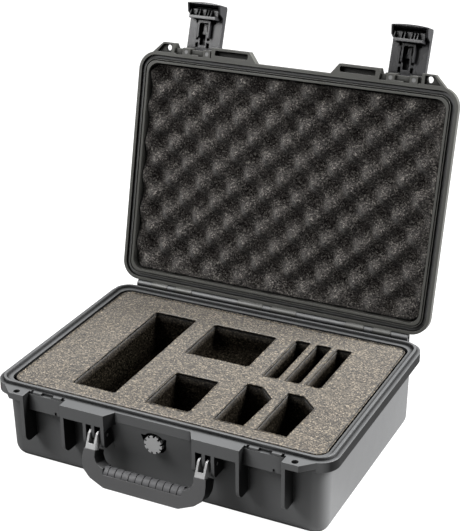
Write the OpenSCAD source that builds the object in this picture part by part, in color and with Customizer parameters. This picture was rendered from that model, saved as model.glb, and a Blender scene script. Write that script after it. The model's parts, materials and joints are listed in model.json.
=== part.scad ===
// Hard carry case with a cut-foam tray for a spotting scope and its accessories.
// A deep base and a shallow lid join on a rear hinge line. Two push-to-open
// latches hang on the lid, and a folding handle hangs on the front of the base.
// Origin: centre of the base's underside. +Z is up and the front faces -Y.
// The lid, latches and handle are drawn in their rest pose: lid open, latches
// swung out, handle hanging.

/* [Shell] */
// Width over the rim, left to right
rim_w = 462; // [450:2:480]
// Depth over the rim, front to back
rim_d = 325; // [315:5:345]
// Height of the base, from the ground to the parting plane
base_h = 113.4; // [110:0.1:125]
// Height of the closed lid above the parting plane
lid_h = 36; // [34:1:44]
// Corner radius of the rim, seen from above
rim_r = 25.7; // [24:0.1:28]
// Distance that each wall stands inside the rim's edge
wall_inset = 10.8; // [10.4:0.1:11.2]
// Thickness of the side walls at the rim
wall_t = 4.2; // [4:0.1:4.6]
// Thickness of the floor and the lid's top
floor_t = 4; // [3.5:0.1:5]
// How far each wall leans in from the rim to the floor
draft = 1.4; // [1:0.1:3]
// Height of the base's rim flange
base_flange_h = 13.4; // [12:0.1:15]
// Height of the lid's rim flange
lid_flange_h = 9.4; // [9:0.1:10]

/* [Hinge] */
// How far the hinge axis stands behind the rim
hinge_back = 5.5; // [5.4:0.1:6]
// How far the hinge axis stands above the parting plane
hinge_up = 3.2; // [3:0.1:3.4]
// Opening angle of the lid at rest
lid_open = 103.7; // [90:0.1:105]
// Radius of the hinge pins
hinge_pin_r = 2.2; // [2:0.1:2.5]

/* [Latch] */
// Width of each latch
latch_w = 50; // [48:1:52]
// Length of each latch below its pivot
latch_len = 69; // [66:1:70]
// Height of the latch pivot above the parting plane
latch_up = 20; // [19:0.5:21]
// Opening angle of the latches at rest
latch_open = 96; // [60:1:120]

/* [Handle] */
// Half the distance between the two arms
handle_x = 75.3; // [75:0.1:76]
// Lean of the steel brackets from straight down
bracket_lean = 27; // [26:0.5:28]
// Lean of the handle's loop from straight down
loop_lean = 17; // [16:0.5:18]
// Distance of the handle's pivot below the parting plane
handle_drop = 31; // [30:0.5:32]

/* [Foam pockets] */
// Long pocket: centre x, centre y, width, length
long_pocket = [-109, -9, 62, 224]; // [-130:1:240]
// Round-dish pocket: centre x, centre y, width, length
dish_pocket = [-2, 58, 92, 90]; // [-20:1:100]
// Cable pocket: centre x, centre y, width, length
cable_pocket = [-2, -82, 60, 82]; // [-90:1:90]
// Depth of the long pocket
long_depth = 62; // [40:1:80]
// Depth of the dish pocket
dish_depth = 34; // [20:1:80]
// Depth of the cable pocket
cable_depth = 55; // [20:1:80]
// Depth of the slim and eyepiece pockets
small_depth = 55; // [20:1:80]
// Left edges of the three slim pockets
slim_left = [72, 102, 131]; // [60:1:140]
// Left edges of the two eyepiece pockets
eyepiece_left = [63, 120]; // [60:1:130]

/* [Hidden] */
$fn = 48;

gap = 0.3;
running = 0.05;
eps = 0.01;
half_w = rim_w / 2;
half_d = rim_d / 2;
lid_z = base_h + gap;
lid_top = base_h + lid_h;
hinge_y = half_d + hinge_back;
hinge_z = base_h + hinge_up;
body_r = 20;
edge_r = 19;
base_inner_edge_r = 13;
shell_fn = 40;

// Seal: the base's tongue enters the lid's channel and meets the gasket.
tongue_inset = 7;
tongue_w = 3;
tongue_h = 4;
gasket_w = 5;
gasket_h = 3.2;
channel_w = 5.6;
channel_depth = tongue_h + gasket_h + 0.1;
inner_groove_inset = 11.4;
inner_groove_w = 1.6;
inner_groove_depth = 4.5;

// Front furniture, measured from the rim's corner so that it follows the width.
tab_x = half_w - 42.3;
tab_in_x = half_w - 56;
tab_out_x = half_w - 35;
tab_y = -half_d - 7.3;
tab_t = 8.5;
padlock_r = 4.2;
latch_x = half_w - 82.7;
zone_half = 26.6;
front_y = -half_d - 14.2;
boss_in_x = 60;
boss_out_x = latch_x - zone_half - 0.2;
boss_slant = 9;
boss_band_h = 17;
rib_bottom = base_h - 68.7;
fork_rib_bottom = base_h - 47.6;
catch_y = -half_d - 1.5;
ledge_drop = 3;
catch_z = base_h - 25.8;
latch_y = -half_d - 3.5;
latch_z = base_h + latch_up;
ear_w = 10.8;
ear_x = [-11.7, 19.9];

// Handle
handle_y = -half_d - 5.5;
handle_z = base_h - handle_drop;
handle_pin_r = 2.2;

// Valve
valve_x = 0;
valve_z = base_h - 32.5;
valve_floor_y = -half_d + 15.2;
valve_wall_t = 4.6;

// ---------- general shapes ----------

// Rounded rectangle centred on the origin
module rounded_rect(w, d, r) {
    square([w - 2 * r, d], center = true);
    square([w, d - 2 * r], center = true);
    for (sx = [-1, 1], sy = [-1, 1])
        translate([sx * (w / 2 - r), sy * (d / 2 - r)])
            circle(r = r);
}

// Rounded slab inset from the rim's edge, between two heights
module rim_slab(inset, z0, z1) {
    translate([0, 0, z0])
        linear_extrude(z1 - z0)
            rounded_rect(rim_w - 2 * inset, rim_d - 2 * inset, rim_r - inset);
}

// Sweeps a profile (x outward, y up) round the rim at an inset from its edge
module rim_sweep(inset) {
    r = rim_r - inset;
    for (k = [0:3]) {
        hx = (k % 2 == 0 ? half_w : half_d) - inset;
        hy = (k % 2 == 0 ? half_d : half_w) - inset;
        rotate([0, 0, 90 * k]) {
            translate([hx, hy - r, 0])
                rotate([90, 0, 0])
                    linear_extrude(2 * (hy - r))
                        children();
            translate([hx - r, hy - r, 0])
                rotate_extrude(angle = 90)
                    translate([r, 0])
                        children();
        }
    }
}

// Extrudes a (y, z) profile from x0 to x1
module along_x(x0, x1) {
    translate([x0, 0, 0])
        rotate([90, 0, 90])
            linear_extrude(x1 - x0)
                children();
}

// Extrudes an (x, z) profile from y0 to y1
module along_y(y0, y1) {
    translate([0, y1, 0])
        rotate([90, 0, 0])
            linear_extrude(y1 - y0)
                children();
}

// Draws its children and their mirror image in the YZ plane
module both_sides() {
    children();
    mirror([1, 0, 0])
        children();
}

// Tub with leaning walls and a rounded lower edge, standing on z = 0
module tub(w, d, h, corner, edge, lean) {
    x = w / 2;
    y = d / 2;
    hull() {
        linear_extrude(1)
            square([w - 2 * (lean + edge), d - 2 * (lean + edge)], center = true);
        for (sx = [-1, 1], sy = [-1, 1]) {
            translate([sx * (x - lean - edge), sy * (y - lean - edge), edge])
                sphere(r = edge, $fn = shell_fn);
            translate([sx * (x - corner), sy * (y - corner), h - 1])
                cylinder(r = corner, h = 1, $fn = shell_fn);
        }
    }
}

// Padlock tab seen from above: straight front, chamfered to the rim's corner
module tab_outline() {
    polygon([
        [tab_in_x, -half_d + 2],
        [tab_in_x, tab_y - 7],
        [tab_out_x, tab_y - 7],
        [half_w, -half_d + 19.5],
        [half_w - 8, -half_d + 2]
    ]);
}

// Boss seen from above: straight front with slanted ends
module boss_outline() {
    polygon([
        [boss_in_x - boss_slant, -half_d + 1],
        [boss_in_x, front_y],
        [boss_out_x, front_y],
        [boss_out_x + 0.01, -half_d + 1]
    ]);
}

// ---------- lid and latch placement ----------

// Turns closed-lid coordinates to the open rest pose
module open_lid() {
    translate([0, hinge_y, hinge_z])
        rotate([-lid_open, 0, 0])
            translate([0, -hinge_y, -hinge_z])
                children();
}

// Places latch coordinates (pivot at the origin, hanging closed) on the open lid
module open_latch(side) {
    open_lid()
        translate([side * latch_x, latch_y, latch_z])
            rotate([-latch_open, 0, 0])
                children();
}

// ---------- base ----------

// Hinge barrel of the base between two x positions
module base_barrel(x0, x1) {
    back = 5.2;
    along_x(x0, x1) {
        translate([hinge_y, hinge_z])
            circle(r = back);
        polygon([
            [half_d - 2, base_h - base_flange_h],
            [hinge_y, base_h - base_flange_h],
            [hinge_y + back, base_h - base_flange_h + 6],
            [hinge_y + back, hinge_z],
            [hinge_y - back, hinge_z],
            [hinge_y - back, base_h - eps],
            [half_d - 2, base_h - eps]
        ]);
    }
}

// Thin upright rib from the wall to the front plane, rounded at its lower end
module front_rib(x0, x1, bottom, r = 12) {
    along_x(x0, x1) {
        translate([front_y, bottom + r])
            square([26, base_h - 4 - bottom - r]);
        translate([front_y + r, bottom])
            square([26 - r, r + 1]);
        translate([front_y + r, bottom + r])
            circle(r = r);
    }
}

module front_boss() {
    translate([0, 0, base_h - boss_band_h])
        linear_extrude(boss_band_h)
            boss_outline();
    // concave sweep from the band's end down to the inner rib
    intersection() {
        translate([0, 0, base_h - boss_band_h - boss_slant])
            linear_extrude(boss_slant + 1)
                boss_outline();
        along_y(front_y, -half_d + 1)
            translate([boss_in_x - boss_slant, base_h - boss_band_h - boss_slant])
                difference() {
                    square([boss_slant + 1, boss_slant + 1]);
                    circle(r = boss_slant);
                }
    }
    front_rib(boss_out_x - 4.3, boss_out_x, rib_bottom);
    front_rib(handle_x + 9.8, handle_x + 14.2, fork_rib_bottom, 7);
    front_rib(handle_x - 2.1, handle_x + 2.2, handle_z - 8, 5.8);
    front_rib(boss_in_x, boss_in_x + 4.6, fork_rib_bottom, 7);
}

// Panel under the rim whose lower edge the latch hooks under
module catch_panel() {
    translate([latch_x - zone_half - 1, catch_y, catch_z])
        cube([2 * zone_half + 2, 14, base_h - catch_z - ledge_drop]);
    for (side = [-1, 1])
        translate([latch_x + side * 14.5 - 6, -half_d - 1, base_h - 4])
            cube([12, 5, 4]);
}

module padlock_tab() {
    translate([0, 0, base_h - tab_t])
        linear_extrude(tab_t)
            tab_outline();
    front_rib(tab_in_x + 0.2, tab_in_x + 4.5, rib_bottom);
}

module base_front() {
    both_sides() {
        front_boss();
        catch_panel();
        padlock_tab();
    }
}

module base_hinge_barrels() {
    base_barrel(-6.6, 6.6);
    both_sides() {
        base_barrel(44.7, 116.8);
        base_barrel(143, 156);
        base_barrel(181.2, 205);
    }
}

// Shallow groove round the underside that a stacked lid's border would meet
module underside_groove() {
    translate([0, 0, -1])
        linear_extrude(1.8)
            difference() {
                rounded_rect(rim_w - 110, rim_d - 110, 12);
                rounded_rect(rim_w - 122, rim_d - 122, 8);
            }
}

// Panel between the bosses: level with the flange at the top, it leans back to the wall
module front_panel() {
    top = base_h - base_flange_h + 1;
    bottom = base_h - 62;
    wall_y = -half_d + wall_inset;
    along_x(-boss_in_x, boss_in_x)
        polygon([[-half_d, top], [wall_y + 3, top], [wall_y + 3, bottom], [wall_y + 1, bottom]]);
}

// D-shaped pocket round the valve, flat at the top, with slanting ribs on its floor
module valve_recess() {
    along_y(-half_d - 5, valve_floor_y - 1.6)
        valve_recess_outline();
    along_y(valve_floor_y - 1.7, valve_floor_y)
        difference() {
            valve_recess_outline();
            difference() {
                for (x = [-16, -11, 8, 13])
                    translate([valve_x + x, valve_z])
                        rotate([0, 0, 24])
                            square([1.4, 60], center = true);
                translate([valve_x, valve_z])
                    circle(r = 12.2);
            }
        }
}

module valve_recess_outline() {
    translate([valve_x, valve_z]) {
        circle(r = 15.5);
        polygon([[-15.5, 0], [15.5, 0], [17.6, 10], [-17.6, 10]]);
    }
}

module base_shell() {
    inner_w = rim_w - 2 * (wall_inset + wall_t);
    inner_d = rim_d - 2 * (wall_inset + wall_t);
    color("dimgray")
        difference() {
            union() {
                tub(rim_w - 2 * wall_inset, rim_d - 2 * wall_inset, base_h - 5,
                    body_r, edge_r, draft);
                rim_slab(0, base_h - base_flange_h, base_h);
                rim_sweep(tongue_inset)
                    translate([-tongue_w / 2, base_h - 1])
                        square([tongue_w, tongue_h + 1]);
                base_front();
                front_panel();
                base_hinge_barrels();
            }
            difference() {
                translate([0, 0, floor_t])
                    tub(inner_w, inner_d, base_h, body_r - wall_t, base_inner_edge_r, draft);
                // pad inside the front wall that carries the valve
                along_y(-half_d, valve_floor_y + valve_wall_t)
                    translate([valve_x - 21, valve_z - 21])
                        square([42, 42]);
            }
            underside_groove();
            valve_recess();
            along_y(-half_d, -half_d + 40)
                translate([valve_x, valve_z])
                    circle(r = 8);
            // steps in the ledge at each latch
            both_sides()
                difference() {
                    translate([latch_x - 24, -half_d - 3, base_h - ledge_drop])
                        cube([48, 6.2, ledge_drop + 1]);
                    for (side = [-1, 1])
                        translate([latch_x + side * 14.5 - 6, -half_d - 4, base_h - 5])
                            cube([12, 8, 6]);
                }
            // notch at the right-hand end of each catch edge
            for (side = [-1, 1])
                translate([side * latch_x + 12.5, 0, 0])
                    along_y(catch_y - 1, catch_y + 5)
                        polygon([[-2, catch_z - 1], [2, catch_z - 1], [0.6, catch_z + 4.5],
                            [-2, catch_z + 4.5]]);
            both_sides()
                translate([tab_x, tab_y, base_h - tab_t - 1])
                    cylinder(r = padlock_r, h = tab_t + 2);
            both_sides()
                along_x(boss_in_x - 1, handle_x + 16)
                    translate([handle_y, handle_z])
                        circle(r = handle_pin_r);
            along_x(-half_w, half_w)
                translate([hinge_y, hinge_z])
                    circle(r = hinge_pin_r);
        }
}

module hinge_pin(x0, x1) {
    color("silver")
        along_x(x0, x1)
            translate([hinge_y, hinge_z])
                circle(r = hinge_pin_r);
}

module hinge_pin_left() {
    hinge_pin(-200, -100);
}

module hinge_pin_middle() {
    hinge_pin(-55, 55);
}

module hinge_pin_right() {
    hinge_pin(100, 200);
}

module handle_pin(side) {
    color("silver")
        mirror([side < 0 ? 1 : 0, 0, 0])
            along_x(boss_in_x + 0.2, handle_x + 14)
                translate([handle_y, handle_z])
                    circle(r = handle_pin_r);
}

module handle_pin_left() {
    handle_pin(-1);
}

module handle_pin_right() {
    handle_pin(1);
}

// ---------- foam ----------

foam_gap = 0.4;
foam_split_z = 16;
foam_top_z = base_h - 0.5;

// Inset of the foam from the rim's edge at a height, following the cavity's leaning walls
function foam_inset(z) = wall_inset + wall_t + foam_gap
    + draft * min(1, (floor_t + base_h - 1 - z) / (base_h - 1 - base_inner_edge_r));

// Foam block between two heights, with its lower edge drawn in further by under
module base_foam_block(z0, z1, under) {
    low = foam_inset(z0) + under;
    high = foam_inset(z1);
    hull() {
        translate([0, 0, z0])
            linear_extrude(eps)
                rounded_rect(rim_w - 2 * low, rim_d - 2 * low, 14, $fn = 32);
        translate([0, 0, z1 - eps])
            linear_extrude(eps)
                rounded_rect(rim_w - 2 * high, rim_d - 2 * high, 15, $fn = 32);
    }
}

module foam_base_pad() {
    color([0.16, 0.15, 0.15])
        base_foam_block(floor_t + 0.4, foam_split_z - 0.2, 11);
}

// Rounded square-cornered pocket given by [centre x, centre y, width, length]
module pocket(p, depth) {
    translate([p[0], p[1], foam_top_z - depth])
        linear_extrude(depth + 1)
            rounded_rect(p[2], p[3], 3);
}

// Eyepiece pocket with its far right-hand corner cut off
module eyepiece_pocket(left) {
    w = 41;
    front = -124;
    back = -28;
    translate([0, 0, foam_top_z - small_depth])
        linear_extrude(small_depth + 1)
            polygon([[left, front], [left + w - 2, front], [left + w + 2, back - 22],
                [left + w / 2, back], [left, back]]);
}

module foam_insert() {
    slim_w = 20;
    slim_l = 108;
    color([0.6, 0.55, 0.48])
        difference() {
            base_foam_block(foam_split_z + 0.2, foam_top_z, 0);
            pocket(long_pocket, long_depth);
            pocket(dish_pocket, dish_depth);
            pocket(cable_pocket, cable_depth);
            for (left = slim_left)
                pocket([left + slim_w / 2, slim_l / 2, slim_w, slim_l], small_depth);
            for (left = eyepiece_left)
                eyepiece_pocket(left);
            // relief for the valve's pad and nut
            along_y(-half_d, valve_floor_y + valve_wall_t + 9)
                translate([valve_x - 22, valve_z - 22])
                    square([44, 44]);
        }
}

module lid_foam() {
    inset = wall_inset + wall_t + 1.4;
    color([0.2, 0.19, 0.19])
        open_lid()
            hull() {
                translate([0, 0, base_h + 3.4])
                    linear_extrude(eps)
                        rounded_rect(rim_w - 2 * inset, rim_d - 2 * inset, 14, $fn = 32);
                translate([0, 0, lid_top - floor_t - 0.5])
                    linear_extrude(eps)
                        rounded_rect(rim_w - 2 * inset - 24, rim_d - 2 * inset - 24, 8,
                            $fn = 32);
            }
}

// ---------- valve ----------

// Puts a round part on the valve's axis: its z points out of the front wall
module on_valve(y) {
    translate([valve_x, y, valve_z])
        rotate([90, 0, 0])
            children();
}

module valve_body() {
    color("gray")
        difference() {
            union() {
                on_valve(valve_floor_y - 1.2)
                    cylinder(r = 11.5, h = 3);
                on_valve(valve_floor_y + valve_wall_t + 7)
                    cylinder(r = 7.9, h = valve_wall_t + 9);
            }
            on_valve(valve_floor_y + valve_wall_t + 8)
                cylinder(r = 4.5, h = 20);
            on_valve(valve_floor_y - 3)
                cylinder(r = 7, h = 5);
        }
}

module valve_o_ring() {
    color([0.08, 0.08, 0.08])
        on_valve(valve_floor_y - 0.6)
            rotate_extrude()
                translate([9.6, 0])
                    circle(r = 0.58, $fn = 24);
}

module valve_membrane() {
    color("white")
        on_valve(valve_floor_y - 3.05)
            cylinder(r = 6.9, h = 0.6);
}

module valve_cap() {
    notches = 10;
    cap_r = 12.1;
    cap_h = 11;
    notch = 2.4;
    color("darkgray")
        on_valve(valve_floor_y - 4.25)
            difference() {
                cylinder(r = cap_r, h = cap_h);
                for (k = [0:notches - 1])
                    rotate([0, 0, (k + 0.3) * 360 / notches])
                        translate([cap_r - notch, -notch / 2, -1])
                            cube([2 * notch, notch, cap_h + 2]);
            }
}

module valve_nut() {
    color("dimgray")
        on_valve(valve_floor_y + valve_wall_t + 6)
            difference() {
                cylinder(r = 12, h = 5.9, $fn = 6);
                translate([0, 0, -1])
                    cylinder(r = 7.95, h = 8);
            }
}

// ---------- lid ----------

// Hinge lug of the lid between two x positions
module lid_lug(x0, x1) {
    r = 5.9;
    along_x(x0, x1) {
        translate([hinge_y, hinge_z])
            circle(r = r);
        polygon([
            [half_d - 8, lid_z],
            [hinge_y, lid_z],
            [hinge_y, hinge_z + r],
            [half_d - 8, hinge_z + r]
        ]);
    }
}

module lid_lugs() {
    clear = 0.3;
    both_sides() {
        lid_lug(6.6 + clear, 44.7 - clear);
        lid_lug(116.8 + clear, 143 - clear);
        lid_lug(156 + clear, 181.2 - clear);
    }
}

// Two ears that hold the latch pin, placed about the latch's own centre
module latch_ears() {
    for (x = ear_x)
        along_x(x - ear_w / 2, x + ear_w / 2) {
            translate([latch_y, latch_z])
                circle(r = 6);
            translate([latch_y - 6, lid_z])
                square([22, latch_up - gap]);
        }
}

// Upright web that closes the end of a pad or tab beside the latch
module lid_end_web(x0, x1) {
    along_x(x0, x1)
        polygon([
            [front_y, lid_z],
            [front_y, lid_z + 12],
            [-half_d - 4, lid_z + 22],
            [-half_d + 12, lid_z + 22],
            [-half_d + 12, lid_z]
        ]);
}

module lid_pads() {
    translate([0, 0, lid_z])
        linear_extrude(11)
            polygon([
                [boss_in_x - 7, -half_d + 1],
                [boss_in_x + 5, front_y],
                [boss_out_x, front_y],
                [boss_out_x, -half_d + 1]
            ]);
    lid_end_web(boss_out_x - 4, boss_out_x);
    lid_end_web(tab_in_x + 3.5, tab_in_x + 7.5);
    // recessed panel behind the latch's ears
    translate([boss_out_x - 1, latch_y - 4.5, lid_z + 4])
        cube([tab_in_x - boss_out_x + 6, 8.5, 5.4]);
    difference() {
        translate([0, 0, lid_z])
            linear_extrude(8.8)
                difference() {
                    tab_outline();
                    translate([tab_in_x - 1, tab_y - 8])
                        square([4.5, 14]);
                }
        // hollow in the tab's underside, wider than the padlock hole
        translate([0, 0, lid_z - 1])
            linear_extrude(5.2)
                polygon([
                    [tab_in_x + 7.6, -half_d - 1],
                    [tab_in_x + 7.6, tab_y - 5],
                    [tab_out_x - 1, tab_y - 5],
                    [tab_out_x + 9, -half_d - 1]
                ]);
    }
    // steps that fill the gaps in the base's ledge
    translate([latch_x - 7, -half_d - 1.5, lid_z])
        cube([14, 3, 6]);
}

module lid_pad_recess() {
    translate([(boss_in_x + boss_out_x) / 2 + 0.5, (front_y - half_d) / 2 - 0.4, lid_z - 1])
        linear_extrude(9)
            rounded_rect(boss_out_x - boss_in_x - 12, 7.4, 2);
}

// Shallow stiffening panel on top of the lid
module lid_top_recess() {
    translate([0, 0, lid_top - 1])
        linear_extrude(3)
            difference() {
                rounded_rect(rim_w - 110, rim_d - 110, 12);
                rounded_rect(rim_w - 122, rim_d - 122, 8);
            }
}

module lid_shell_closed() {
    inner_w = rim_w - 2 * (wall_inset + wall_t);
    inner_d = rim_d - 2 * (wall_inset + wall_t);
    difference() {
        union() {
            translate([0, 0, lid_top])
                mirror([0, 0, 1])
                    tub(rim_w - 2 * wall_inset, rim_d - 2 * wall_inset, lid_h - 4,
                        body_r, 17, draft);
            rim_slab(0, lid_z, lid_z + lid_flange_h);
            lid_lugs();
            both_sides()
                lid_pads();
            for (side = [-1, 1])
                translate([side * latch_x, 0, 0])
                    latch_ears();
        }
        translate([0, 0, lid_top - floor_t])
            mirror([0, 0, 1])
                tub(inner_w, inner_d, lid_h, body_r - wall_t, 12, draft);
        lid_top_recess();
        both_sides()
            lid_pad_recess();
        rim_sweep(tongue_inset)
            translate([-channel_w / 2, lid_z - 1])
                square([channel_w, channel_depth + 1]);
        rim_sweep(inner_groove_inset)
            translate([-inner_groove_w / 2, lid_z - 1])
                square([inner_groove_w, inner_groove_depth + 1]);
        both_sides() {
            translate([tab_x, tab_y, lid_z - 1])
                cylinder(r = padlock_r, h = 12);
            along_x(latch_x - 26, latch_x + 26)
                translate([latch_y, latch_z])
                    circle(r = 2);
        }
        for (side = [-1, 1], x = ear_x)
            translate([side * latch_x + x, latch_y - 1, lid_z - 1])
                cylinder(r = 2.8, h = 4);
        along_x(-half_w, half_w)
            translate([hinge_y, hinge_z])
                circle(r = hinge_pin_r + running);
    }
}

module lid_shell() {
    color("gray")
        open_lid()
            lid_shell_closed();
}

// Gasket cord lying at the bottom of the lid's channel
module lid_gasket() {
    r = gasket_h / 2;
    color([0.1, 0.1, 0.1])
        open_lid()
            rim_sweep(tongue_inset)
                translate([0, lid_z + channel_depth - r]) {
                    square([gasket_w - gasket_h, gasket_h], center = true);
                    for (side = [-1, 1])
                        translate([side * (gasket_w / 2 - r), 0])
                            circle(r = r - 0.01, $fn = 24);
                }
}

module latch_pin(side) {
    color("silver")
        open_lid()
            translate([side * latch_x, 0, 0])
                along_x(-24.6, 25.2)
                    translate([latch_y, latch_z])
                        circle(r = 2);
}

module latch_pin_left() {
    latch_pin(-1);
}

module latch_pin_right() {
    latch_pin(1);
}

// Round plugs in the ends of the latch ears
module latch_plugs(side) {
    color("lightgray")
        open_lid()
            for (x = ear_x)
                translate([side * latch_x + x, latch_y - 1, lid_z + 0.3])
                    cylinder(r = 2.8, h = 2.7);
}

module latch_plugs_left() {
    latch_plugs(-1);
}

module latch_plugs_right() {
    latch_plugs(1);
}

// ---------- latch, drawn hanging from its pivot ----------

latch_front = -16;
latch_back = -7;
window_half = 15.4;
window_top = -41.7;
window_bottom = -58.4;

module latch_body() {
    half = latch_w / 2;
    end = -latch_len;
    crown = 1.8;
    crown_r = (half * half + crown * crown) / (2 * crown);
    difference() {
        intersection() {
            union() {
                // plate, with its front edges eased
                along_x(-half, half)
                    polygon([[latch_back, 5], [latch_front + 3, 5], [latch_front, 2],
                        [latch_front, end + 5], [latch_front + 3, end], [latch_back, end]]);
                // lip across the free end
                along_x(-half, half)
                    polygon([[latch_back - 1, end], [5, end - 1], [8.4, end + 0.6],
                        [8.4, end + 2.6], [3, end + 5.4], [latch_back - 1, end + 6.4]]);
                for (x0 = [-half, half - 2.6])
                    along_x(x0, x0 + 2.6)
                        polygon([[latch_back - 1, end], [8.4, end + 1], [8.4, end + 3],
                            [4, end + 14], [latch_back - 1, end + 19]]);
                // knuckles beside the lid's ears
                for (x = [[-half + 0.5, ear_x[0] - ear_w / 2 - 0.4],
                        [ear_x[0] + ear_w / 2 + 0.4, ear_x[1] - ear_w / 2 - 0.4]])
                    along_x(x[0], x[1]) {
                        circle(r = 5.5);
                        translate([latch_back - 1, -5.5])
                            square([8, 11]);
                    }
                // rails beside the centre column and the bar that seats the spring
                for (x0 = [-8.8, 7])
                    translate([x0, latch_back - 1, -45.6])
                        cube([2.4, 8, 24]);
                translate([-8, -2, -45.6])
                    cube([16, 2, 3.8]);
            }
            // crowned free end
            translate([0, 30, end + crown_r])
                rotate([90, 0, 0])
                    cylinder(r = crown_r, h = 60, $fn = 96);
        }
        // cored-out cells of the centre column: left, right, bottom, top
        for (c = [[-12.4, -9.4, -41, -28.5], [-5, -3, -41, -30], [3, 5, -41, -30],
                [-12.6, -8.9, -26.5, -18.5], [-6.4, 1.8, -26.5, -11.5],
                [4.2, 8.6, -26.5, -18.5], [-12.6, -8.6, -15, -8], [4.2, 8.6, -15, -8]])
            translate([c[0], -12.6, c[2]])
                cube([c[1] - c[0], 12, c[3] - c[2]]);
        // window for the button
        translate([-window_half, latch_front - 1, window_bottom])
            cube([2 * window_half, 12, window_top - window_bottom]);
        along_x(-half - 1, half + 1)
            circle(r = 2 + running);
    }
}

module latch_button() {
    color([0.12, 0.12, 0.12])
        difference() {
            union() {
                // push pad in the window
                translate([-window_half + 0.3, latch_front - 1.2, window_bottom + 0.3])
                    cube([2 * window_half - 0.6, 7.2, window_top - window_bottom - 0.6]);
                translate([-window_half + 0.6, -10.5, window_bottom + 0.6])
                    cube([2 * window_half - 1.2, 5, 10]);
                // hook behind the latch
                along_x(-20, 20)
                    polygon([[-6.4, -46.6], [9, -46.6], [9, -50.4], [5, -58.6], [-6.4, -61.6]]);
            }
            // slots that leave two pairs of teeth standing on the sloping face
            for (x = [-19, -9.4, -5.2, 4, 8.2])
                translate([x, 1, -62])
                    cube([x < -18 ? 8.4 : x == -5.2 ? 8 : 3, 10, 11.4]);
            translate([12.4, 1, -62])
                cube([8, 10, 11.4]);
        }
}

// Coil between the latch's bar and the push pad
module latch_spring() {
    turns = 4;
    steps = 16;
    wire = 0.3;
    r = 1.5;
    y0 = -9.6;
    y1 = -2.4;
    sides = 6;
    total = turns * steps;
    ring = [for (i = [0:total], j = [0:sides - 1])
        let (a = 360 * i / steps, b = 360 * j / sides, rr = r + wire * cos(b))
            [rr * cos(a), y0 + (y1 - y0) * i / total + wire * sin(b), -43.7 + rr * sin(a)]];
    function at(i, j) = i * sides + j % sides;
    color("silver")
        polyhedron(
            points = ring,
            faces = concat(
                [for (i = [0:total - 1], j = [0:sides - 1])
                    [at(i, j), at(i, j + 1), at(i + 1, j + 1), at(i + 1, j)]],
                [[for (j = [sides - 1:-1:0]) j]],
                [[for (j = [0:sides - 1]) total * sides + j]]
            ),
            convexity = 10
        );
}

module latch_body_left() {
    color([0.14, 0.14, 0.14])
        open_latch(-1)
            latch_body();
}

module latch_body_right() {
    color([0.14, 0.14, 0.14])
        open_latch(1)
            latch_body();
}

module latch_button_left() {
    open_latch(-1)
        latch_button();
}

module latch_button_right() {
    open_latch(1)
        latch_button();
}

module latch_spring_left() {
    open_latch(-1)
        latch_spring();
}

module latch_spring_right() {
    open_latch(1)
        latch_spring();
}

// ---------- handle ----------

// Handle coordinates: pivot at the origin, hanging down the -z axis at a lean
module in_handle(lean) {
    translate([0, handle_y, handle_z])
        rotate([-lean, 0, 0])
            children();
}

bracket_in = handle_x - 7.3;
bracket_out = handle_x + 6.1;
bracket_foot = -20.4;
bracket_front = -10.3;
plate_t = 2.8;
rivet_r = 1.5;

module rivet_spot() {
    translate([-2, -17])
        circle(r = rivet_r);
}

// Folded plate that straddles a rib of the boss and holds the handle's arm
module handle_bracket(side) {
    color("lightgray")
        mirror([side < 0 ? 1 : 0, 0, 0])
            in_handle(bracket_lean)
                difference() {
                    union() {
                        for (x0 = [bracket_in, bracket_out - plate_t])
                            along_x(x0, x0 + plate_t) {
                                circle(r = 5);
                                polygon([[bracket_front, -1], [bracket_front, bracket_foot],
                                    [-1, bracket_foot], [4.6, -2], [0, 5], [-3, 5],
                                    [-8, 2.5]]);
                            }
                        translate([bracket_in, bracket_front, bracket_foot])
                            cube([bracket_out - bracket_in, 2, 6.8]);
                    }
                    along_x(bracket_in - 1, bracket_out + 1) {
                        circle(r = handle_pin_r + running);
                        rivet_spot();
                    }
                }
}

module handle_bracket_left() {
    handle_bracket(-1);
}

module handle_bracket_right() {
    handle_bracket(1);
}

module handle_rivet(side) {
    color("silver")
        mirror([side < 0 ? 1 : 0, 0, 0])
            in_handle(bracket_lean)
                along_x(bracket_in, bracket_out)
                    rivet_spot();
}

module handle_rivet_left() {
    handle_rivet(-1);
}

module handle_rivet_right() {
    handle_rivet(1);
}

// Rounds the outward corners of a flat outline
module eased(r) {
    offset(r = r, $fn = 32)
        offset(delta = -r)
            children();
}

// Loop seen from the front: arms, sloping lower corners and a level grip bar
module loop_outline() {
    half = [[51.3, -62.6], [72, -54], [81.5, -45], [84, -37], [84, -27], [82.2, -10]];
    eased(5)
        polygon(concat(half, [for (i = [len(half) - 1:-1:0]) [-half[i][0], half[i][1]]]));
}

module loop_window() {
    half = [[57, -38], [64, -34], [67.6, -27], [67.6, 20]];
    eased(6)
        polygon(concat(half, [for (i = [len(half) - 1:-1:0]) [-half[i][0], half[i][1]]]));
}

// Arm and bar seen from the side
module loop_profile() {
    polygon([[-13.7, -18.4], [-13.7, -30], [-12.6, -50], [-12.6, -62.6], [4.5, -62.6],
        [4.5, -45], [8.5, -33], [9.2, -22.5]]);
}

grip_half = 54;
grip_bottom = -46;
grip_pitch = 9.48;
grip_grooves = 11;
groove_w = 1.1;

// Round bar section above the grip's lower edge
module grip_round(r) {
    intersection() {
        translate([-4, -45.2])
            circle(r = r);
        translate([-20, grip_bottom])
            square([40, 20]);
    }
}

// Space that the grip strip fills round the bar's core
module grip_seat() {
    clear = 0.15;
    difference() {
        translate([-grip_half - clear, -20, grip_bottom - 0.1])
            cube([2 * (grip_half + clear), 40, 20]);
        along_x(-grip_half - 1, grip_half + 1)
            translate([-4, -45.2])
                circle(r = 6.5);
    }
}

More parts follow.
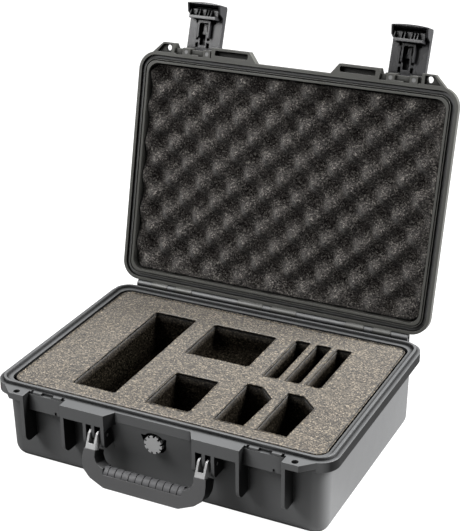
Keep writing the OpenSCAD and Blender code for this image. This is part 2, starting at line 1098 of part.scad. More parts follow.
module handle_loop() {
    difference() {
        intersection() {
            along_x(-90, 90)
                loop_profile();
            along_y(-20, 20)
                difference() {
                    loop_outline();
                    loop_window();
                }
        }
        grip_seat();
    }
}

// Tongue of each arm that enters its bracket
module handle_tongue() {
    difference() {
        translate([handle_x - 4.3, -8.2, -24])
            cube([7.2, 13.2, 10]);
        along_x(bracket_in, bracket_out)
            rivet_spot();
    }
}

module handle_frame() {
    color("dimgray") {
        in_handle(loop_lean)
            handle_loop();
        in_handle(bracket_lean)
            both_sides()
                handle_tongue();
    }
}

module handle_grip() {
    edges = [-grip_half, for (k = [0:grip_grooves - 1])
        grip_pitch * (k - (grip_grooves - 1) / 2), grip_half];
    color([0.25, 0.25, 0.25])
        in_handle(loop_lean)
            difference() {
                union() {
                    along_x(-grip_half, grip_half)
                        grip_round(7.7);
                    for (k = [0:grip_grooves])
                        along_x(edges[k] + (k == 0 ? 0 : groove_w / 2),
                            edges[k + 1] - (k == grip_grooves ? 0 : groove_w / 2))
                            grip_round(8.5);
                }
                along_x(-grip_half - 1, grip_half + 1)
                    translate([-4, -45.2])
                        circle(r = 6.6);
            }
}

base_shell();
foam_base_pad();
foam_insert();
hinge_pin_left();
hinge_pin_middle();
hinge_pin_right();
handle_pin_left();
handle_pin_right();
valve_body();
valve_cap();
valve_membrane();
valve_o_ring();
valve_nut();
lid_shell();
lid_gasket();
lid_foam();
latch_pin_left();
latch_pin_right();
latch_plugs_left();
latch_plugs_right();
latch_body_left();
latch_spring_left();
latch_button_left();
latch_body_right();
latch_spring_right();
latch_button_right();
handle_frame();
handle_grip();
handle_bracket_left();
handle_bracket_right();
handle_rivet_left();
handle_rivet_right();
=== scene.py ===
"""Looks of the telescope carry case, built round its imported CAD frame.

Units are metres. The foams are rebuilt here as soft meshes; the moulded, sprung
and steel parts keep their CAD shapes and get smoothing and materials.
"""
import json
import math

import bmesh
import bpy
from mathutils import Matrix, Vector, noise


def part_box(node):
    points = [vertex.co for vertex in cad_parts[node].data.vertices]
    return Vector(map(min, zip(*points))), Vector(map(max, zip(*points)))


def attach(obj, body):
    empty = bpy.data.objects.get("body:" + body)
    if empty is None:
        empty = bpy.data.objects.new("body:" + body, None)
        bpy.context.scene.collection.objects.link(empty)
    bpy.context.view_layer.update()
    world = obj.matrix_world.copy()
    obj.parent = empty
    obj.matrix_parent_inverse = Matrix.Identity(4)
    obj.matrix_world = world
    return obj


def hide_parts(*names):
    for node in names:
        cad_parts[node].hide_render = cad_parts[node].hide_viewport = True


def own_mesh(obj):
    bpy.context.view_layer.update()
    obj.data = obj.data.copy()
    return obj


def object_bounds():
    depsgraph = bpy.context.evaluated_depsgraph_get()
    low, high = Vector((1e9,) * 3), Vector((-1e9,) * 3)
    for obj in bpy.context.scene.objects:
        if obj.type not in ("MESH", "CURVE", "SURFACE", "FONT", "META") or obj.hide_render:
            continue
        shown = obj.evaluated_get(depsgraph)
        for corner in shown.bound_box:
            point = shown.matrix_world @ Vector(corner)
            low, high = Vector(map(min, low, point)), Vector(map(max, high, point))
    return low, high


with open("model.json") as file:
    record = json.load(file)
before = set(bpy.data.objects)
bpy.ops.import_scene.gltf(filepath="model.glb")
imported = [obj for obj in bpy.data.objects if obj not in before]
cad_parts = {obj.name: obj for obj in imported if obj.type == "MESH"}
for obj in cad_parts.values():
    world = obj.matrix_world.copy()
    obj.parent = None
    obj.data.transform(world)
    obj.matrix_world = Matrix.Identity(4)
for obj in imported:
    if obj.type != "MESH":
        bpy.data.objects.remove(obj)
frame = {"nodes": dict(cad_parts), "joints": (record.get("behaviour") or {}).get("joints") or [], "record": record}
cad_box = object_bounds()
MM = 0.001


# ---------- the frame's own places ----------

def joint(name):
    """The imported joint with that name."""
    return next(j for j in frame["joints"] if j["name"] == name)


LID_JOINT = joint("lid_hinge")
HINGE = Vector(LID_JOINT["pos_m"])
LID_OPEN = math.radians(LID_JOINT["range_deg"][1])
# Heights of the base's rim and of its flange's underside, and the y of its front wall
RIM_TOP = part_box("foam_insert")[1].z + 0.5 * MM
FLANGE_BOTTOM = RIM_TOP - 14 * MM
FRONT_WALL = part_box("foam_insert")[0].y - 5 * MM


def closed_to_open():
    """Matrix that takes a point on the closed lid to its place at rest."""
    turn = Matrix.Rotation(-LID_OPEN, 4, "X")
    return Matrix.Translation(HINGE) @ turn @ Matrix.Translation(-HINGE)


# ---------- node helpers ----------

class Nodes:
    """Short calls for building one material's node tree."""

    def __init__(self, name):
        self.material = bpy.data.materials.new(name)
        self.material.use_nodes = True
        self.tree = self.material.node_tree
        self.shader = self.tree.nodes["Principled BSDF"]
        self.place = self.add("ShaderNodeTexCoord").outputs["Object"]

    def add(self, kind, **values):
        """New node with some of its properties set."""
        node = self.tree.nodes.new(kind)
        for key, value in values.items():
            setattr(node, key, value)
        return node

    def link(self, output, target):
        self.tree.links.new(output, target)

    def feed(self, value, socket):
        """Links an output to a socket, or sets the socket to a plain number or colour."""
        if isinstance(value, bpy.types.NodeSocket):
            self.link(value, socket)
        elif hasattr(value, "__len__"):
            socket.default_value = (*value, 1)
        else:
            socket.default_value = value

    def noise(self, size_mm, detail=2.0, rough=0.5, stretch=(1, 1, 1)):
        """Noise whose features are about size_mm across."""
        mapping = self.add("ShaderNodeMapping")
        mapping.inputs["Scale"].default_value = stretch
        self.link(self.place, mapping.inputs["Vector"])
        node = self.add("ShaderNodeTexNoise")
        node.inputs["Scale"].default_value = 1 / (size_mm * MM)
        node.inputs["Detail"].default_value = detail
        node.inputs["Roughness"].default_value = rough
        self.link(mapping.outputs["Vector"], node.inputs["Vector"])
        return node.outputs["Fac"]

    def cells(self, size_mm):
        """Cells about size_mm across: distance to each one's point, and its random grey."""
        node = self.add("ShaderNodeTexVoronoi")
        node.inputs["Scale"].default_value = 1 / (size_mm * MM)
        self.link(self.place, node.inputs["Vector"])
        split = self.add("ShaderNodeSeparateColor")
        self.link(node.outputs["Color"], split.inputs[0])
        return node.outputs["Distance"], split.outputs["Red"]

    def ramp(self, fac, *stops):
        """Colour ramp with (position, colour or grey) stops."""
        node = self.add("ShaderNodeValToRGB")
        ramp = node.color_ramp
        while len(ramp.elements) < len(stops):
            ramp.elements.new(0.5)
        for element, (position, colour) in zip(ramp.elements, stops):
            if not hasattr(colour, "__len__"):
                colour = (colour, colour, colour)
            element.position = position
            element.color = (*colour, 1)
        self.link(fac, node.inputs["Fac"])
        return node.outputs["Color"]

    def mix(self, a, b, fac, mode="MIX"):
        """Mixes two colours. Each may be an output or a plain colour."""
        node = self.add("ShaderNodeMix", data_type="RGBA", blend_type=mode)
        self.feed(fac, node.inputs[0])
        self.feed(a, node.inputs[6])
        self.feed(b, node.inputs[7])
        return node.outputs[2]

    def math(self, operation, a, b=0.0):
        """Sum on two values. Each may be an output or a number."""
        node = self.add("ShaderNodeMath", operation=operation)
        self.feed(a, node.inputs[0])
        self.feed(b, node.inputs[1])
        return node.outputs[0]

    def bump(self, height, depth_mm, normal=None):
        """Normal bent by a height, on top of another normal if one is given."""
        node = self.add("ShaderNodeBump")
        node.inputs["Strength"].default_value = 1.0
        node.inputs["Distance"].default_value = depth_mm * MM
        self.link(height, node.inputs["Height"])
        if normal is not None:
            self.link(normal, node.inputs["Normal"])
        return node.outputs["Normal"]

    def soft_edge(self, radius_mm):
        """Normal that rounds sharp edges over radius_mm."""
        node = self.add("ShaderNodeBevel", samples=4)
        node.inputs["Radius"].default_value = radius_mm * MM
        return node.outputs["Normal"]

    def hidden(self, reach_mm):
        """1 where the surface is open and 0 deep in a recess narrower than reach_mm."""
        node = self.add("ShaderNodeAmbientOcclusion", samples=6)
        node.inputs["Distance"].default_value = reach_mm * MM
        return node.outputs["AO"]

    def edge_mask(self, soft_normal, low, high):
        """0 on open faces and 1 along rounded edges."""
        geometry = self.add("ShaderNodeNewGeometry")
        dot = self.add("ShaderNodeVectorMath", operation="DOT_PRODUCT")
        self.link(soft_normal, dot.inputs[0])
        self.link(geometry.outputs["Normal"], dot.inputs[1])
        spread = self.math("SUBTRACT", 1.0, dot.outputs["Value"])
        return self.ramp(spread, (low, 0), (high, 1))

    def side_band(self, low, high, front_of=None):
        """1 on faces that look sideways along x between two heights in metres.

        With front_of given, only faces that look right and lie in front of that y.
        """
        split = self.add("ShaderNodeSeparateXYZ")
        self.link(self.place, split.inputs[0])
        facing = self.add("ShaderNodeSeparateXYZ")
        self.link(self.add("ShaderNodeTexCoord").outputs["Normal"], facing.inputs[0])
        sideways = facing.outputs["X"]
        if front_of is None:
            sideways = self.math("ABSOLUTE", sideways)
        mask = self.ramp(sideways, (0.4, 0), (0.8, 1))
        mask = self.math("MULTIPLY", mask, self.math("GREATER_THAN", split.outputs["Z"], low))
        mask = self.math("MULTIPLY", mask, self.math("LESS_THAN", split.outputs["Z"], high))
        if front_of is not None:
            ahead = self.math("LESS_THAN", split.outputs["Y"], front_of)
            mask = self.math("MULTIPLY", mask, ahead)
        return mask

    def seen_directly(self):
        """1 for what the camera sees directly and 0 for light bounced on."""
        return self.add("ShaderNodeLightPath").outputs["Is Camera Ray"]

    def set(self, **values):
        """Sets or links the shader's inputs, with _ for a space in a name."""
        for key, value in values.items():
            self.feed(value, self.shader.inputs[key.replace("_", " ")])


def scaled(colour, factor):
    """The same colour, lighter or darker by a factor."""
    return tuple(c * factor for c in colour)


# ---------- materials ----------

def moulded_plastic(name, colour, roughness=0.4, edge_mm=0.7, grain_mm=0.9, edge_highlight=0.6,
                    shade=0.9, shade_mm=26, bands=()):
    """Fine-textured moulded resin: spark-eroded grain, painted shade in recesses and a painted highlight along
    rounded edges.

    bands lists the limits of side faces painted in shade, as side_band() takes them.
    """
    m = Nodes(name)
    patch_mm = 70
    speck_mm = 2.6
    groove_part = 0.28
    soft = m.soft_edge(edge_mm)
    broad = m.noise(patch_mm, detail=3)
    fine = m.noise(grain_mm, detail=3, rough=0.6)
    speck = m.noise(speck_mm, detail=4, rough=0.65)
    base = m.mix(scaled(colour, 0.9), scaled(colour, 1.1), broad)
    base = m.mix(base, scaled(colour, 1.2), m.ramp(speck, (0.55, 0), (0.8, 0.35)))
    # Painted shade: side faces within the bands are darkened to a tenth of the colour.
    side_shade = 0.0
    for band in bands:
        side_shade = m.math("MAXIMUM", side_shade, m.side_band(*band))
    base = m.mix(base, scaled(colour, 0.1), side_shade)
    # Painted highlight: rounded edges, broken up by the specks, are lightened up to 2.4 times the colour.
    edge_highlight_mask = m.mix((0, 0, 0), m.edge_mask(soft, 0.02, 0.2), m.ramp(speck, (0.35, 0.3), (0.65, 1)))
    base = m.mix(base, scaled(colour, 2.4), m.math("MULTIPLY", edge_highlight_mask, edge_highlight))
    # Painted shade: recesses found by ambient occlusion, wide and narrow, are darkened to 0.08 of the colour.
    wide = m.ramp(m.hidden(shade_mm), (0.5, 1), (0.84, 0))
    narrow = m.ramp(m.hidden(shade_mm * groove_part), (0.6, 1), (0.97, 0))
    recess_shade = m.math("MULTIPLY", m.math("MAXIMUM", wide, narrow), shade)
    base = m.mix(base, scaled(colour, 0.08), recess_shade)
    # Reflections are turned down wherever shade is painted.
    matt = m.math("MAXIMUM", recess_shade, side_shade)
    grain = m.bump(fine, 0.05, soft)
    sheen = m.ramp(broad, (0.3, roughness - 0.05), (0.7, roughness + 0.06))
    m.set(Base_Color=base, Roughness=sheen, Normal=m.bump(speck, 0.03, grain),
          Specular_IOR_Level=m.ramp(matt, (0.2, 0.4), (0.9, 0.05)))
    return m.material


def foam_material(name, dark, light, grain_mm, depth_mm, low_shade, glint):
    """Open-cell foam: light and dark specks round open cells, very matt.

    A few struts catch the light and are glint times brighter. The mesh's level attribute,
    1 at the top and 0 at the bottom, paints shade on deep parts, down to low_shade of the colour.
    """
    m = Nodes(name)
    cell_distance, random_grey = m.cells(grain_mm)
    grain = m.noise(grain_mm * 1.6, detail=3, rough=0.7)
    patch = m.noise(45, detail=2)
    height = m.math("ADD", m.math("MULTIPLY", cell_distance, 0.4), grain)
    speck = m.math("ADD", m.math("MULTIPLY", random_grey, 0.8),
                   m.math("MULTIPLY", m.ramp(grain, (0.35, 0), (0.65, 1)), 0.2))
    colour = m.ramp(speck, (0.25, dark), (0.75, light))
    colour = m.mix(colour, scaled(light, glint), m.ramp(random_grey, (0.86, 0), (0.93, 1)))
    colour = m.mix(colour, scaled(light, 1.1), m.ramp(patch, (0.35, 0), (0.75, 0.15)))
    level = m.add("ShaderNodeAttribute", attribute_name="level").outputs["Fac"]
    # Painted shade: deep parts darken towards low_shade of the colour, and lose sheen and reflection.
    colour = m.mix(m.mix((0, 0, 0), colour, low_shade), colour, level)
    m.set(Base_Color=colour, Roughness=1.0, Normal=m.bump(height, depth_mm),
          Specular_IOR_Level=m.math("MULTIPLY", level, 0.1),
          Sheen_Weight=m.math("MULTIPLY", level, 0.12), Sheen_Roughness=0.6)
    return m.material


def rubber(name, colour):
    """Matt cord rubber with a faint bloom."""
    m = Nodes(name)
    bloom = m.noise(9, detail=3)
    fine = m.noise(0.5, detail=2)
    m.set(Base_Color=m.mix(scaled(colour, 0.7), scaled(colour, 1.6), bloom),
          Roughness=m.ramp(bloom, (0.3, 0.55), (0.7, 0.8)), Normal=m.bump(fine, 0.03))
    return m.material


def ground_steel(name):
    """Centreless-ground stainless pin: fine rings round its length."""
    m = Nodes(name)
    rings = m.noise(0.25, detail=2, stretch=(1, 0.02, 0.02))
    tint = m.noise(6, detail=2)
    m.set(Base_Color=m.mix((0.46, 0.46, 0.47), (0.62, 0.62, 0.63), tint), Metallic=1.0,
          Roughness=m.ramp(rings, (0.3, 0.22), (0.7, 0.38)), Normal=m.bump(rings, 0.01))
    return m.material


def membrane(name):
    """Felted vent membrane."""
    m = Nodes(name)
    fibre = m.noise(0.4, detail=4, rough=0.7)
    m.set(Base_Color=m.ramp(fibre, (0.3, 0.55), (0.7, 0.85)), Roughness=0.95,
          Normal=m.bump(fibre, 0.05))
    return m.material


def bright_plate(name):
    """Pressed plate with a dull rolled finish and painted shade in its recesses."""
    m = Nodes(name)
    soft = m.soft_edge(0.5)
    rolled = m.noise(1.2, detail=3, stretch=(1, 1, 0.12))
    tint = m.noise(8, detail=3)
    base = m.mix((0.24, 0.24, 0.24), (0.34, 0.34, 0.34), tint)
    # Painted shade: recesses found by ambient occlusion are darkened towards near black.
    recess_shade = m.ramp(m.hidden(8), (0.2, 0.8), (0.7, 0))
    m.set(Base_Color=m.mix(base, (0.03, 0.03, 0.03), recess_shade), Metallic=0.3,
          Roughness=m.ramp(rolled, (0.3, 0.34), (0.7, 0.48)), Normal=m.bump(rolled, 0.02, soft))
    return m.material


# Side faces painted in shade: lowest z, highest z and, for faces to the right, a y
RIM_SIDES = (FLANGE_BOTTOM, RIM_TOP - 0.4 * MM)
RIB_SIDES = (0, FLANGE_BOTTOM, FRONT_WALL)
HANDLE_SIDES = (0, RIM_TOP, FRONT_WALL)
RESIN = {
    "shell": dict(colour=(0.062, 0.063, 0.064), roughness=0.43, shade=0.95, shade_mm=16,
                  bands=[RIM_SIDES, RIB_SIDES]),
    "lid_shell": dict(colour=(0.044, 0.044, 0.040), edge_highlight=1.0, shade=0.8),
    "latch": dict(colour=(0.013, 0.013, 0.014), roughness=0.26, grain_mm=0.6, shade_mm=9),
    "button": dict(colour=(0.008, 0.008, 0.009), roughness=0.4, grain_mm=0.6, shade_mm=6),
    "handle": dict(colour=(0.055, 0.055, 0.056), roughness=0.42, edge_mm=1.2,
                   bands=[HANDLE_SIDES]),
    "grip": dict(colour=(0.046, 0.046, 0.048), roughness=0.6, edge_mm=0.6, grain_mm=0.6,
                 shade_mm=4),
    "plugs": dict(colour=(0.13, 0.13, 0.13), roughness=0.4, edge_mm=0.4, shade=0.3),
    "valve_cap": dict(colour=(0.25, 0.25, 0.25), roughness=0.42, shade=0.95, shade_mm=7),
}
MATERIALS = {slot: moulded_plastic(slot, **look) for slot, look in RESIN.items()}
MATERIALS["gasket"] = rubber("gasket", (0.04, 0.04, 0.04))
MATERIALS["steel"] = ground_steel("steel")
MATERIALS["bracket"] = bright_plate("bracket")
MATERIALS["membrane"] = membrane("membrane")
MATERIALS["tray_foam"] = foam_material(
    "tray_foam", dark=(0.004, 0.003, 0.002), light=(0.059, 0.049, 0.036), grain_mm=1.5,
    depth_mm=0.6, low_shade=0.10, glint=2.2)
MATERIALS["lid_foam"] = foam_material(
    "lid_foam", dark=(0.005, 0.004, 0.004), light=(0.064, 0.059, 0.054), grain_mm=1.5,
    depth_mm=0.8, low_shade=0.38, glint=2.4)


def finish_cad_nodes():
    """Gives every CAD node its slot's material and smooth shading across shallow edges."""
    slots = {row["node"]: row["material_slot"] for row in frame["record"]["subparts"]}
    group = smooth_by_angle(math.radians(28))
    for name, node in frame["nodes"].items():
        node.data.materials.clear()
        node.data.materials.append(MATERIALS[slots[name]])
        modifier = node.modifiers.new("smooth_faces", "NODES")
        modifier.node_group = group


def smooth_by_angle(angle):
    """Node group that welds split corners and keeps only edges sharper than angle."""
    group = bpy.data.node_groups.new("smooth_faces", "GeometryNodeTree")
    group.interface.new_socket("Geometry", in_out="INPUT", socket_type="NodeSocketGeometry")
    group.interface.new_socket("Geometry", in_out="OUTPUT", socket_type="NodeSocketGeometry")
    add = group.nodes.new
    link = group.links.new
    start = add("NodeGroupInput")
    end = add("NodeGroupOutput")
    weld = add("GeometryNodeMergeByDistance")
    weld.inputs["Distance"].default_value = 0.002 * MM
    drop = add("GeometryNodeRemoveAttribute")
    drop.inputs["Name"].default_value = "custom_normal"
    faces = add("GeometryNodeSetShadeSmooth")
    faces.domain = "FACE"
    edges = add("GeometryNodeSetShadeSmooth")
    edges.domain = "EDGE"
    edges.inputs["Shade Smooth"].default_value = False
    bend = add("GeometryNodeInputMeshEdgeAngle")
    sharp = add("FunctionNodeCompare")
    sharp.operation = "GREATER_THAN"
    sharp.inputs["B"].default_value = angle
    link(start.outputs[0], drop.inputs["Geometry"])
    link(drop.outputs[0], weld.inputs["Geometry"])
    link(weld.outputs[0], faces.inputs["Geometry"])
    link(faces.outputs[0], edges.inputs["Geometry"])
    link(bend.outputs["Unsigned Angle"], sharp.inputs["A"])
    link(sharp.outputs[0], edges.inputs["Selection"])
    link(edges.outputs[0], end.inputs[0])
    return group


# ---------- meshes ----------

def finished_mesh(name, build):
    """Turns a bmesh into a named mesh and frees it."""
    mesh = bpy.data.meshes.new(name)
    build.to_mesh(mesh)
    build.free()
    return mesh


def store_level(mesh, levels):
    """Saves a value from 0 to 1 for each vertex, read by the foam's material."""
    attribute = mesh.attributes.new("level", "FLOAT", "POINT")
    attribute.data.foreach_set("value", levels)


def new_object(name, mesh, body, slot, stands_for):
    """Adds a finished mesh as a piece that rides on a body in place of a CAD node."""
    piece = bpy.data.objects.new(name, mesh)
    bpy.context.scene.collection.objects.link(piece)
    mesh.materials.append(MATERIALS[slot])
    mesh.polygons.foreach_set("use_smooth", [True] * len(mesh.polygons))
    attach(piece, body)
    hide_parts(stands_for)
    return piece


# ---------- foams ----------

def top_edges(build, top, wanted):
    """Sharp edges that lie in the top plane and whose middle satisfies wanted."""
    sharp_bend = 1.0
    close = 0.01 * MM
    found = []
    for edge in build.edges:
        if len(edge.link_faces) != 2 or edge.calc_face_angle() < sharp_bend:
            continue
        middle = (edge.verts[0].co + edge.verts[1].co) / 2
        if all(abs(v.co.z - top) < close for v in edge.verts) and wanted(middle):
            found.append(edge)
    return found


def slice_mesh(build, axis, low, high, step):
    """Cuts every face along evenly spaced planes."""
    normal = Vector([1.0 if k == axis else 0.0 for k in range(3)])
    count = int((high - low) / step)
    for k in range(1, count + 1):
        at = normal * (low + (high - low) * k / (count + 1))
        geometry = build.verts[:] + build.edges[:] + build.faces[:]
        bmesh.ops.bisect_plane(build, geom=geometry, plane_co=at, plane_no=normal)


def tray_foam():
    """Cut foam block: the CAD block with softened, slightly uneven cuts.

    The block is narrower than the CAD one by slack on each side. Its faces sink by sink
    and wave a little, and its level, painted shade for the pockets, falls to 0 at the depth fade.
    """
    lo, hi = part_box("foam_insert")
    slack = 2.5 * MM
    outer_strip = 6 * MM
    outer_radius = 2.4 * MM
    pocket_radius = 1.2 * MM
    cell = 5 * MM
    layer = 8 * MM
    long_wave = 38 * MM
    short_wave = 11 * MM
    sink = 0.9 * MM
    fade = 13 * MM
    build = bmesh.new()
    build.from_mesh(frame["nodes"]["foam_insert"].data)
    bmesh.ops.remove_doubles(build, verts=build.verts, dist=0.005 * MM)
    bmesh.ops.dissolve_limit(build, angle_limit=math.radians(0.4), verts=build.verts,
                             edges=build.edges)

    def outside(point):
        """True close to the block's outer sides."""
        reach = max(abs(point.x) - hi.x, abs(point.y) - hi.y)
        return reach > -outer_strip

    def pocket(point):
        """True away from the block's outer sides."""
        return not outside(point)

    for radius, wanted in ((outer_radius, outside), (pocket_radius, pocket)):
        edges = top_edges(build, hi.z, wanted)
        bmesh.ops.bevel(build, geom=edges, offset=radius, segments=3, profile=0.5,
                        affect="EDGES", clamp_overlap=True)
    for axis, step in ((0, cell), (1, cell), (2, layer)):
        slice_mesh(build, axis, lo[axis], hi[axis], step)
    build.normal_update()
    levels = []
    for vertex in build.verts:
        # Painted shade: the level falls with depth so that pocket walls darken.
        levels.append(max(0.0, 1 - (hi.z - vertex.co.z) / fade) ** 1.5)
        place = vertex.co.copy()
        wave = noise.noise(place / long_wave) * 0.5 + noise.noise(place / short_wave) * 0.3
        place += vertex.normal * (wave * MM - sink)
        place.x *= 1 - slack / hi.x
        place.y *= 1 - slack / hi.y
        vertex.co = place
    mesh = finished_mesh("foam_tray", build)
    store_level(mesh, levels)
    return new_object("foam_tray", mesh, "base", "tray_foam", "foam_insert")


def square_to_round(x, y, half_x, half_y, radius):
    """Moves a point near a rectangle's corner so that the corner follows an arc."""
    inner_x = half_x - radius
    inner_y = half_y - radius
    u = abs(x) - inner_x
    v = abs(y) - inner_y
    if u <= 0 or v <= 0:
        return x, y
    reach = max(u, v) / math.hypot(u, v)
    return math.copysign(inner_x + u * reach, x), math.copysign(inner_y + v * reach, y)


def lid_foam():
    """Egg-crate foam in the lid, built on the closed lid and swung to its open place."""
    to_open = closed_to_open()
    back = to_open.inverted()
    points = [back @ v.co for v in frame["nodes"]["lid_foam"].data.vertices]
    clearance = 0.6 * MM
    half_x = max(p.x for p in points) - clearance
    half_y = max(p.y for p in points) - clearance
    face = min(p.z for p in points) + 0.4 * MM
    rear = max(p.z for p in points) - 1 * MM
    corner_radius = 14 * MM
    pitch = 48.6 * MM
    phase = 0.25
    sharpness = 1.6
    relief = 17 * MM
    lean = 13 * MM
    pressed_border = 22 * MM
    pressed_relief = 0.4
    step = 2.4 * MM
    nx = int(2 * half_x / step)
    ny = int(2 * half_y / step)
    build = bmesh.new()

    def dip(x, y):
        """0 on top of a bump and 1 at the bottom between bumps."""
        across = math.cos(2 * math.pi * x / pitch)
        along = math.cos(2 * math.pi * (y / pitch + phase))
        return 1 - (0.5 + 0.5 * across * along) ** sharpness

    def surface(x, y):
        """Height of the foam's face, with shallower relief near the edge of the sheet."""
        uneven = noise.noise(Vector((x, y, 0.3)) / (30 * MM)) * 1.4
        rough = noise.noise(Vector((x, y, 0.7)) / (4 * MM)) * 0.35
        crumple = max(0.0, (uneven + rough) * MM)
        border = min(half_x - abs(x), half_y - abs(y))
        depth = relief * min(1.0, pressed_relief + (1 - pressed_relief) * border / pressed_border)
        return face + depth * dip(x, y) + crumple

    rows = []
    levels = []
    for j in range(ny + 1):
        row = []
        for i in range(nx + 1):
            x = (2 * i / nx - 1) * half_x
            y = (2 * j / ny - 1) * half_y
            x, y = square_to_round(x, y, half_x, half_y, corner_radius)
            row.append(build.verts.new((x, y, surface(x, y))))
            # Painted shade: the level is low in the dips between bumps and high on the crests.
            levels.append((1 - dip(x, y)) ** 0.8)
        rows.append(row)
    for j in range(ny):
        for i in range(nx):
            build.faces.new((rows[j][i], rows[j + 1][i], rows[j + 1][i + 1], rows[j][i + 1]))
    rim = rows[0] + [r[-1] for r in rows[1:]] + rows[-1][-2::-1] + [r[0] for r in rows[-2:0:-1]]
    side_rows = 4
    ring = rim
    for side_row in range(1, side_rows + 1):
        t = side_row / side_rows
        lower = []
        for v in rim:
            shrink_x = 1 - lean * t / half_x
            shrink_y = 1 - lean * t / half_y
            z = v.co.z + (rear - v.co.z) * t
            lower.append(build.verts.new((v.co.x * shrink_x, v.co.y * shrink_y, z)))
            # The sides get the full painted shade.
            levels.append(0.0)
        for k in range(len(rim)):
            n = (k + 1) % len(rim)
            build.faces.new((ring[k], ring[n], lower[n], lower[k]))
        ring = lower
    build.faces.new(ring[::-1])
    bmesh.ops.recalc_face_normals(build, faces=build.faces)
    bmesh.ops.transform(build, matrix=to_open, verts=build.verts)
    mesh = finished_mesh("foam_lid", build)
    store_level(mesh, levels)
    return new_object("foam_lid", mesh, "lid", "lid_foam", "lid_foam")


# ---------- springs ----------

def button_spring(side):
    """Coil behind one push button, flat at both ends."""
    press = joint(f"button_{side}_press")
    axis = Vector(press["axis"]).normalized()
    node = f"latch_spring_{side}"
    points = [v.co for v in frame["nodes"][node].data.vertices]
    middle = sum(points, Vector()) / len(points)
    along = [(p - middle).dot(axis) for p in points]
    wire = 0.32 * MM
    length = max(along) - min(along) - 2 * wire
    start = middle + axis * (min(along) + wire)
    across = axis.orthogonal().normalized()
    upright = axis.cross(across)
    radius = 1.5 * MM
    turns = 5
    flat_turns = 0.75
    steps = 24
    sides = 10
    flat = flat_turns / turns
    build = bmesh.new()
    rings = []
    for i in range(turns * steps + 1):
        turn = 2 * math.pi * i / steps
        t = i / (turns * steps)
        rise = min(1.0, max(0.0, (t - flat) / (1 - 2 * flat)))
        radial = across * math.cos(turn) + upright * math.sin(turn)
        centre = start + axis * length * rise + radial * radius
        ring = []
        for k in range(sides):
            b = 2 * math.pi * k / sides
            offset = radial * math.cos(b) + axis * math.sin(b)
            ring.append(build.verts.new(centre + offset * wire))
        rings.append(ring)
    for near, far in zip(rings, rings[1:]):
        for k in range(sides):
            n = (k + 1) % sides
            build.faces.new((near[k], near[n], far[n], far[k]))
    build.faces.new(rings[0][::-1])
    build.faces.new(rings[-1])
    bmesh.ops.recalc_face_normals(build, faces=build.faces)
    name = f"button_spring_{side}"
    piece = new_object(name, finished_mesh(name, build), f"latch_{side}", "steel", node)
    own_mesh(piece)


# ---------- floor, light, camera ----------

def floor():
    """Pale studio floor, white to the camera; strips just right of the case and in front, and a spot off its
    front-right corner, glow to light the case in place of light thrown back.
    """
    size = 30
    right_power = 0.7
    front_power = 0.21
    corner_power = 1.3
    right_edge = cad_box[1].x
    front_edge = -cad_box[0].y
    base_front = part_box("base_shell")[0].y
    build = bmesh.new()
    bmesh.ops.create_grid(build, x_segments=8, y_segments=8, size=size / 2)
    mesh = finished_mesh("studio_floor", build)
    plane = bpy.data.objects.new("studio_floor", mesh)
    plane.location.z = -0.2 * MM
    bpy.context.scene.collection.objects.link(plane)
    m = Nodes("studio_floor")
    split = m.add("ShaderNodeSeparateXYZ")
    m.link(m.place, split.inputs[0])
    ahead = m.math("MULTIPLY", split.outputs["Y"], -1.0)
    # Glowing floor patches, no lamps: they stand in for light bounced off the floor and for its reflection in the
    # case.
    right_glow = m.ramp(split.outputs["X"], (right_edge - 0.04, 0),
                        (right_edge - 0.03, right_power), (right_edge + 0.1, 0))
    front_glow = m.ramp(ahead, (front_edge - 0.06, 0), (front_edge - 0.05, front_power),
                        (front_edge + 0.06, 0))
    from_corner = m.add("ShaderNodeVectorMath", operation="DISTANCE")
    m.link(m.place, from_corner.inputs[0])
    from_corner.inputs[1].default_value = (right_edge + 0.09, base_front + 0.05, 0)
    corner_glow = m.ramp(from_corner.outputs["Value"], (0.02, 1), (0.13, 0))
    glow = m.math("MAXIMUM", right_glow, front_glow)
    glow = m.math("ADD", glow, m.math("MULTIPLY", corner_glow, corner_power))
    m.set(Base_Color=m.ramp(m.noise(400), (0.3, 0.11), (0.7, 0.13)), Roughness=0.9,
          Emission_Color=(1, 1, 1), Emission_Strength=m.math("MAXIMUM", m.seen_directly(), glow))
    mesh.materials.append(m.material)


def direction(azimuth, elevation):
    """Unit vector that leaves the case azimuth degrees right of the front, elevation up."""
    turn = math.radians(azimuth)
    rise = math.radians(elevation)
    flat = math.cos(rise)
    return Vector((math.sin(turn) * flat, -math.cos(turn) * flat, math.sin(rise)))


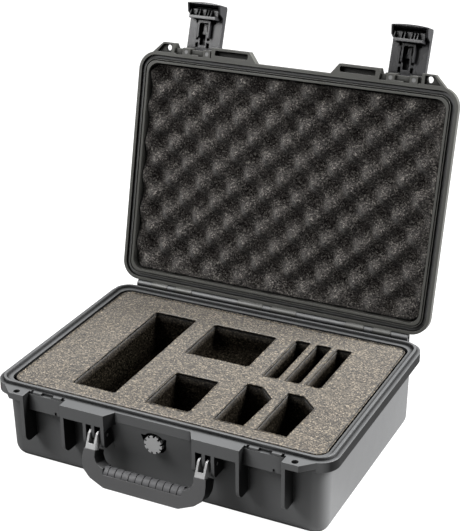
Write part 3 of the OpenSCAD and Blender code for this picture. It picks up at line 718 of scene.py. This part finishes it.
def area_light(name, azimuth, elevation, distance, size, power):
    """Soft square light aimed at the middle of the case."""
    lo, hi = cad_box
    target = (lo + hi) / 2
    back = direction(azimuth, elevation)
    data = bpy.data.lights.new(name, "AREA")
    data.shape = "RECTANGLE"
    data.size = size
    data.size_y = size
    data.energy = power
    light = bpy.data.objects.new(name, data)
    light.location = target + back * distance
    light.rotation_mode = "QUATERNION"
    light.rotation_quaternion = back.to_track_quat("Z", "Y")
    bpy.context.scene.collection.objects.link(light)


def studio():
    """White backdrop, a strong soft light over the right side and weak fill."""
    seen_strength = 1.0
    bounced_strength = 0.16
    world = bpy.data.worlds.new("studio")
    bpy.context.scene.world = world
    world.use_nodes = True
    tree = world.node_tree
    path = tree.nodes.new("ShaderNodeLightPath")
    strength = tree.nodes.new("ShaderNodeMapRange")
    strength.inputs["To Min"].default_value = bounced_strength
    strength.inputs["To Max"].default_value = seen_strength
    tree.links.new(path.outputs["Is Camera Ray"], strength.inputs["Value"])
    background = tree.nodes["Background"]
    background.inputs["Color"].default_value = (1, 1, 1, 1)
    tree.links.new(strength.outputs["Result"], background.inputs["Strength"])
    area_light("key", azimuth=112, elevation=35, distance=3.0, size=1.2, power=440)
    area_light("top", azimuth=0, elevation=80, distance=2.0, size=1.1, power=31)
    area_light("fill", azimuth=-45, elevation=42, distance=2.4, size=1.2, power=95)
    bpy.context.scene.view_settings.view_transform = "Standard"


def camera():
    """Camera at the photographed viewing angle: right of the front, looking down."""
    roll = math.radians(-0.8)
    data = bpy.data.cameras.new("camera")
    data.sensor_width = 36
    data.lens = 92.2
    data.shift_x = 0.030
    data.shift_y = 0.071
    cam = bpy.data.objects.new("camera", data)
    cam.location = (0.702, -1.373, 0.948)
    back = direction(azimuth=27.0, elevation=25.9)
    aim = back.to_track_quat("Z", "Y").to_matrix().to_4x4()
    cam.rotation_mode = "QUATERNION"
    cam.rotation_quaternion = (aim @ Matrix.Rotation(roll, 4, "Z")).to_quaternion()
    bpy.context.scene.collection.objects.link(cam)
    bpy.context.scene.camera = cam


finish_cad_nodes()
tray_foam()
lid_foam()
button_spring("left")
button_spring("right")
floor()
studio()
camera()
